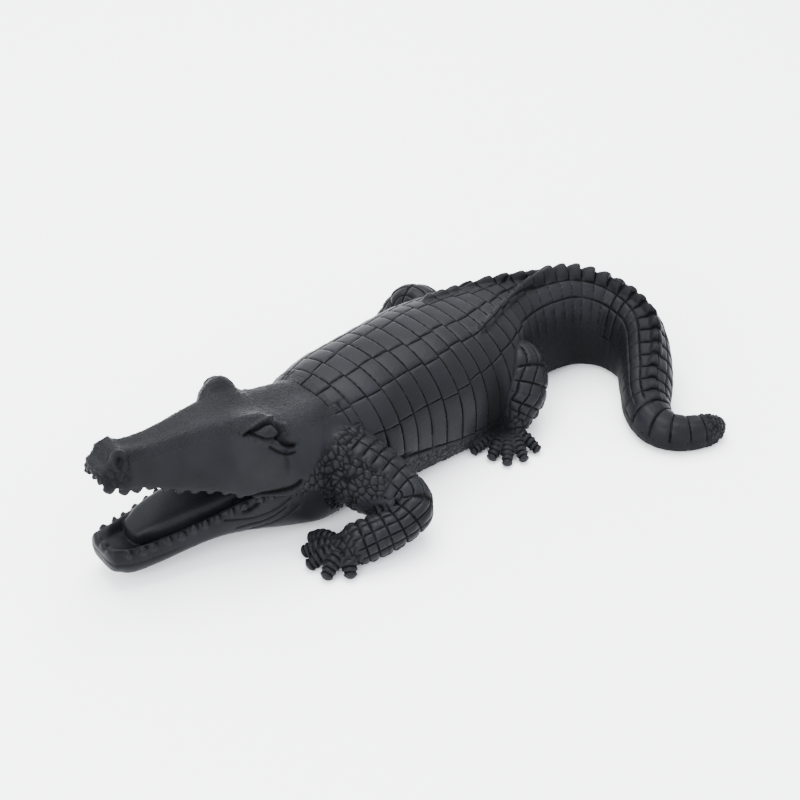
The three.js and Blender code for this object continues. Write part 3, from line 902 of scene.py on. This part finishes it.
def cells(co, size):
    """How far each place is inside its own pebble, from 0 at the border, as a share of the size."""
    at = co / size[:, None]
    base = np.floor(at)
    first, second = np.full(len(co), 9.0), np.full(len(co), 9.0)
    for step in np.ndindex(3, 3, 3):
        cell = base + np.array(step) - 1
        key = cell @ np.array([1.0, 57.0, 113.0])
        seed = cell + 0.5 + 0.8 * (np.stack([scatter(key, k) for k in (1, 2, 3)], -1) - 0.5)
        far = np.linalg.norm(at - seed, axis=1)
        second = np.minimum(second, np.maximum(first, far))
        first = np.minimum(first, far)
    return second - first


def to_whole(value, gap):
    """Distance to the nearest whole value."""
    return (0.5 - np.abs(value - np.floor(value) - 0.5)) * gap


def bell(distance, width):
    return np.exp(-((distance / width) ** 2))


def to_curve(at, points):
    """Distance from each place to a curve through the points."""
    curve = smooth(points, np.linspace(0, 1, 70))
    return np.sqrt(((at[:, None] - curve) ** 2).sum(-1).min(1))


def head_relief(co, out):
    """Height of the lids, folds, nostrils and lips, and the painted shade that darkens their grooves, the
    nostrils and the knob.
    """
    height, shade_mask, grain = np.zeros(len(co)), np.zeros(len(co)), np.zeros(len(co))
    on = np.flatnonzero(co[:, 0] < -40)
    p, n = co[on], out[on]
    x, z = p[:, 0], p[:, 2]
    _, y, _, _, top, edge = skull_at(np.maximum(x, SKULL[0][0])).T
    side = np.abs(p[:, 1] - y)
    outward = n[:, 1] * np.sign(p[:, 1] - y)
    flank = fade(outward, -0.1, 0.25) * fade(side, 10, 12)
    inwards = SIGHT["plane"] - side
    seen = np.stack([x - SIGHT["along"] * inwards, z + SIGHT["down"] * inwards], -1)
    h, d = np.zeros(len(on)), np.zeros(len(on))
    eye_shown = fade(side, 11, 12.5) * (x < -50) * np.where(p[:, 1] > y, FAR_EYE, 1)
    drawn = [(seen, stroke, eye_shown) for stroke in EYE_STROKES]
    drawn += [(p[:, [0, 2]], stroke, flank) for stroke in HEAD_STROKES]
    for at, (points, wide, tall), shown in drawn:
        line = bell(to_curve(at, points), wide) * shown
        h += tall * line
        # grooves are painted darker as well, as painted shade in them
        if tall < 0:
            d = np.maximum(d, line)
    rim = jaw_at(np.maximum(x, JAW[0][0]))[:, 3]
    facing = fade(outward + np.maximum(0, -n[:, 0]), 0.3, 0.6)
    lip_line = bell(z - rim + LIP_LINE["below"], LIP_LINE["width"]) * facing * fade(x, *LIP_LINE["from"])
    h -= LIP_LINE["depth"] * lip_line
    # the groove under the lip is painted darker, as painted shade
    d = np.maximum(d, 0.4 * lip_line)
    hole = np.sqrt((x - NOSTRIL["x"]) ** 2 + (side - NOSTRIL["side"]) ** 2 + (z - NOSTRIL["z"]) ** 2 * 0.3)
    h += NOSTRIL["rise"] * bell(hole - NOSTRIL["rim"], 0.8) - NOSTRIL["depth"] * bell(hole, NOSTRIL["radius"])
    dip = np.hypot((x - DIP["x"]) / DIP["long"], (z - DIP["z"]) / DIP["tall"])
    h -= DIP["depth"] * bell(dip, 1) * fade(side, 6, 3)
    knob = fade(x, *KNOB["from"]) * fade(z, *KNOB["low"]) * fade(z, top, top - KNOB["below_top"])
    rough = cells(p * (1, 1.6, 0.8), np.full(len(p), KNOB["pebble"]))
    h += KNOB["rough"] * knob * (fade(rough, 0, 0.6) - 0.5)
    # the knob is painted darker, most in the crevices between its bumps, as painted shade
    d = np.maximum(d, knob * (0.25 + 0.3 * fade(rough, 0.3, 0)))
    # the nostril holes are painted darker, as painted shade
    d = np.maximum(d, bell(hole, NOSTRIL["radius"]))
    crown_top = fade(z, top - 7, top - 3) * (z > edge)
    grain[on] = np.maximum(crown_top, knob)
    height[on], shade_mask[on] = h, d
    return height, shade_mask, grain


def painted_shade(co):
    """Painted shade: how much darker the skin is painted behind the flank, under the bend of the tail and
    along its crest.
    """
    along, angle, _, _ = body_place(co)
    turn = np.abs(angle)
    bend = fade(turn, *PAINTED_SHADE["bend_turn"]) * fade(along, *PAINTED_SHADE["bend_from"])
    crest = fade(turn, *PAINTED_SHADE["crest_turn"]) * fade(along, *PAINTED_SHADE["crest_from"])
    away = np.linalg.norm((co - PAINTED_SHADE["flank_at"]) / (1, 1, 1.6), axis=1)
    flank = fade(away, *PAINTED_SHADE["flank_reach"]) * fade(co[:, 0], *PAINTED_SHADE["flank_end"])
    return np.maximum.reduce([PAINTED_SHADE["bend"] * bend, PAINTED_SHADE["crest"] * crest, PAINTED_SHADE["flank"] * flank])


def carved(co, out):
    """Height of the carving over the forms, and the attributes that the material reads."""
    row, row_gap, column, column_gap, plates, pebbles, size, number = lay_out(co)
    relief, shade_mask, grain = head_relief(co, out)
    # painted shade behind the flank, under the bend of the tail and along its crest joins that of the head
    shade_mask = np.maximum(shade_mask, painted_shade(co))
    near = np.minimum(to_whole(row, row_gap), to_whole(column, column_gap))
    ring = row_gap < 3.4
    square = (row_gap < 4.8) & ~ring
    share = row - np.floor(row)
    tilt = RELIEF["tilt"] * (share - 0.5) + RELIEF["lean"] * (scatter(number, 1) - 0.5)
    tilt = np.where(ring, 0, tilt) * fade(row_gap, 20, 8)
    crown = np.where(ring, 0, np.where(square, RELIEF["square"], RELIEF["plate"]))
    height = relief + plates * (fade(near, 0.1, 0.7) * tilt + crown * fade(near, 0.2, 1.6))
    groove = np.where(ring, RELIEF["ring_groove"], RELIEF["groove"])
    height -= plates * groove * bell(near, RELIEF["groove_width"])
    some = np.flatnonzero(pebbles > 0.01)
    inside = np.ones(len(co))
    inside[some] = cells(co[some], size[some])
    height += pebbles * (RELIEF["pebble"] * fade(inside, 0.0, 0.5) - RELIEF["sunk"])
    some = np.flatnonzero(grain > 0.01)
    rough = cells(co[some], np.full(len(some), RELIEF["grain_size"]))
    height[some] += grain[some] * RELIEF["grain"] * (fade(rough, 0, 0.5) - 0.5)
    return height, {
        "lattice": np.column_stack([row, column, plates]),
        "spacing": np.column_stack([row_gap, column_gap, grain]),
        # marks: how far inside its pebble, how far the pebbles show, and the painted shade
        "marks": np.column_stack([inside, pebbles, shade_mask]),
    }


def softened(co, pairs):
    """The seams between the forms drawn together, and the steps of the voxels everywhere."""
    strength = np.zeros(len(co))
    for place, radius in SOFT:
        strength = np.maximum(strength, fade(np.linalg.norm(co - place, axis=1), radius, radius * 0.6))
    near = np.flatnonzero(strength > 0)
    mine = np.full(len(co), -1)
    mine[near] = np.arange(len(near))
    inner = mine[pairs]
    inner = inner[(inner >= 0).all(1)]
    co[near] = relax(co[near], inner, 0.5 * strength[near] * (strength[near] > 0.02), 60)
    return relax(co, pairs, np.full(len(co), 0.5), 2)


def crocodile():
    """The whole figure as one carved skin."""
    tongue = tube("tongue", TONGUE, 48, 0.8, n=4.5)
    forms = [body(), skull(), jaw(), tongue, *teeth(), *eyes(), *crests(), *limbs()]
    piece = joined("crocodile_cast", forms)
    remesh = piece.modifiers.new("one skin", "REMESH")
    remesh.mode = "VOXEL"
    remesh.voxel_size = VOXEL
    remesh.adaptivity = 0
    apply(piece)
    co = softened(corners(piece), edges(piece))
    set_corners(piece, co)
    out = normals(piece)
    add_attribute(piece, "plain", co)
    height, _ = carved(co, out)
    set_corners(piece, co + out * height[:, None])
    decimate = piece.modifiers.new("fewer faces", "DECIMATE")
    decimate.ratio = min(1, TRIANGLES / (len(piece.data.polygons) * 2))
    apply(piece)
    plain = read_attribute(piece, "plain")
    piece.data.attributes.remove(piece.data.attributes["plain"])
    _, fields = carved(plain, normals(piece))
    for name, values in fields.items():
        add_attribute(piece, name, values)
    low, high = (np.array(corner) for corner in cad_box)
    co = corners(piece)
    co[:, 2] = np.maximum(co[:, 2], 0)
    co = (co - LAYOUT_MIDDLE) * SIZE / LAYOUT_SIZE * MM
    set_corners(piece, np.clip(co, low, high))
    piece.data.shade_smooth()
    return piece


# Materials


class Value:
    """A socket of a material's nodes, with arithmetic."""

    def __init__(self, finish, socket):
        self.finish, self.socket = finish, socket

    def math(self, operation, *others, swap=False):
        values = [self, *others]
        if swap:
            values.reverse()
        return self.finish.node("ShaderNodeMath", {"operation": operation}, values)

    def __add__(self, other):
        return self.math("ADD", other)

    def __sub__(self, other):
        return self.math("SUBTRACT", other)

    def __rsub__(self, other):
        return self.math("SUBTRACT", other, swap=True)

    def __mul__(self, other):
        return self.math("MULTIPLY", other)

    __radd__ = __add__
    __rmul__ = __mul__

    def to_whole(self, gap):
        """Distance to the nearest whole value, for values that lie a gap apart."""
        return (0.5 - (self.math("FRACT") - 0.5).math("ABSOLUTE")) * gap

    def step(self, low, high):
        """0 at low and 1 at high, smooth between."""
        ends = {"Value": self, "From Min": low, "From Max": high}
        return self.finish.node("ShaderNodeMapRange", {"interpolation_type": "SMOOTHSTEP"}, ends)


class Finish:
    """A material and its nodes."""

    def __init__(self, name):
        self.material = bpy.data.materials.new(name)
        self.material.use_nodes = True
        self.tree = self.material.node_tree
        self.shader = self.tree.nodes["Principled BSDF"]

    def node(self, kind, settings=None, inputs=(), output=0):
        node = self.tree.nodes.new(kind)
        for key, value in (settings or {}).items():
            setattr(node, key, value)
        pairs = inputs.items() if isinstance(inputs, dict) else enumerate(inputs)
        for key, value in pairs:
            self.feed(node.inputs[key], value)
        return Value(self, node.outputs[output])

    def feed(self, socket, value):
        if isinstance(value, Value):
            self.tree.links.new(value.socket, socket)
        else:
            socket.default_value = value

    def parts(self, name):
        """The three numbers of an attribute."""
        stored = self.node("ShaderNodeAttribute", {"attribute_name": name}, output="Vector")
        split = self.node("ShaderNodeSeparateXYZ", inputs=[stored]).socket.node
        return [Value(self, socket) for socket in split.outputs]

    def noise(self, place, scale, detail, roughness):
        inputs = {"Vector": place, "Scale": scale, "Detail": detail, "Roughness": roughness}
        return self.node("ShaderNodeTexNoise", inputs=inputs)

    def blend(self, share, low, high):
        """A colour between two, by a share from 0 to 1."""
        node = self.tree.nodes.new("ShaderNodeMix")
        node.data_type = "RGBA"
        self.feed(node.inputs["Factor"], share)
        self.feed(node.inputs[6], low)
        self.feed(node.inputs[7], high)
        return Value(self, node.outputs[2])


def resin():
    finish = Finish("black_resin")
    place = finish.node("ShaderNodeTexCoord", output="Object")
    row, column, plates = finish.parts("lattice")
    row_gap, column_gap, grain = finish.parts("spacing")
    inside, pebbles, shade_mask = finish.parts("marks")
    uneven = finish.noise(place, 700, 3, 0.6)
    cloud = finish.noise(place, 40, 3, 0.5)
    leather = finish.noise(place, 260, 2, 0.6)
    dotted = {"Vector": place, "Scale": 950}
    dots = finish.node("ShaderNodeTexVoronoi", {"feature": "DISTANCE_TO_EDGE"}, dotted)
    # Painted shade: the colour is darkened towards near black in the grooves between plates and rings, in the
    # seams between pebbles and where the shade mask is painted
    near = row.to_whole(row_gap).math("MINIMUM", column.to_whole(column_gap)) + (uneven - 0.5) * 0.25
    groove = near.step(0.46, 0.12) * plates * (leather.step(0.3, 0.55) * 0.5 + 0.5)
    seam = (inside + (uneven - 0.5) * 0.2).step(0.2, 0.02) * pebbles
    line = groove.math("MAXIMUM", seam * 0.9).math("MAXIMUM", shade_mask)
    charcoal = finish.blend(cloud.step(0.35, 0.65), (0.0039, 0.0041, 0.0049, 1), (0.0061, 0.0066, 0.008, 1))
    # near black for the painted shade
    colour = finish.blend(line, charcoal, (0.0006, 0.0006, 0.0008, 1))
    finish.feed(finish.shader.inputs["Base Color"], colour)
    finish.feed(finish.shader.inputs["Roughness"], cloud * 0.1 + 0.4 + line * 0.5)
    relief = uneven * 0.14 + leather * 0.3 * (plates + 0.3) - groove * 0.5 - seam * 0.3
    relief = relief + dots.step(0, 0.2) * grain * 0.25
    bump = finish.node("ShaderNodeBump", inputs={"Strength": 0.7, "Distance": 0.0005, "Height": relief})
    finish.feed(finish.shader.inputs["Normal"], bump)
    finish.shader.inputs["Specular IOR Level"].default_value = 0.07
    return finish.material


# Scene


def floor():
    bm = bmesh.new()
    bmesh.ops.create_grid(bm, x_segments=1, y_segments=1, size=3)
    mesh = bpy.data.meshes.new("floor")
    bm.to_mesh(mesh)
    bm.free()
    table = bpy.data.objects.new("floor", mesh)
    bpy.context.collection.objects.link(table)
    finish = Finish("pale_floor")
    finish.feed(finish.shader.inputs["Base Color"], (0.97, 0.975, 0.985, 1))
    finish.feed(finish.shader.inputs["Roughness"], 0.9)
    mesh.materials.append(finish.material)


def panel(name, place, aim, size, watts):
    """A soft light panel that faces a point."""
    lamp = bpy.data.lights.new(name, "AREA")
    lamp.shape = "RECTANGLE"
    lamp.size, lamp.size_y = size
    lamp.energy = watts
    light = bpy.data.objects.new(name, lamp)
    bpy.context.collection.objects.link(light)
    light.location = place
    light.rotation_euler = (Vector(aim) - Vector(place)).to_track_quat("-Z", "Y").to_euler()


def lights():
    world = bpy.data.worlds.new("studio")
    bpy.context.scene.world = world
    world.use_nodes = True
    back = world.node_tree.nodes["Background"]
    back.inputs["Color"].default_value = (0.93, 0.95, 1.0, 1)
    back.inputs["Strength"].default_value = 3.5
    panel("top_light", (0.1, 0.3, 1.1), (0, 0, 0), (0.9, 0.9), 36)
    panel("left_light", (-0.9, -0.4, 0.7), (0, 0, 0.02), (0.6, 0.6), 16)


CAMERA = {"azimuth": -36.585, "elevation": 37.443, "distance": 0.7277, "target": (0.00836, 0.00885, 0.02)}
LENS = 87.75  # millimetres on a 36 mm sensor


def camera():
    a, e = math.radians(CAMERA["azimuth"]), math.radians(CAMERA["elevation"])
    back = Vector((math.sin(a) * math.cos(e), -math.cos(a) * math.cos(e), math.sin(e)))
    lens = bpy.data.cameras.new("camera")
    lens.lens = LENS
    lens.sensor_width = 36
    lens.clip_start = 0.01
    view = bpy.data.objects.new("camera", lens)
    bpy.context.collection.objects.link(view)
    view.location = Vector(CAMERA["target"]) + back * CAMERA["distance"]
    view.rotation_euler = (-back).to_track_quat("-Z", "Y").to_euler()
    bpy.context.scene.camera = view


camera()
floor()
lights()
cast = crocodile()
cast.data.materials.append(resin())
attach(cast, "root")
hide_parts("crocodile")
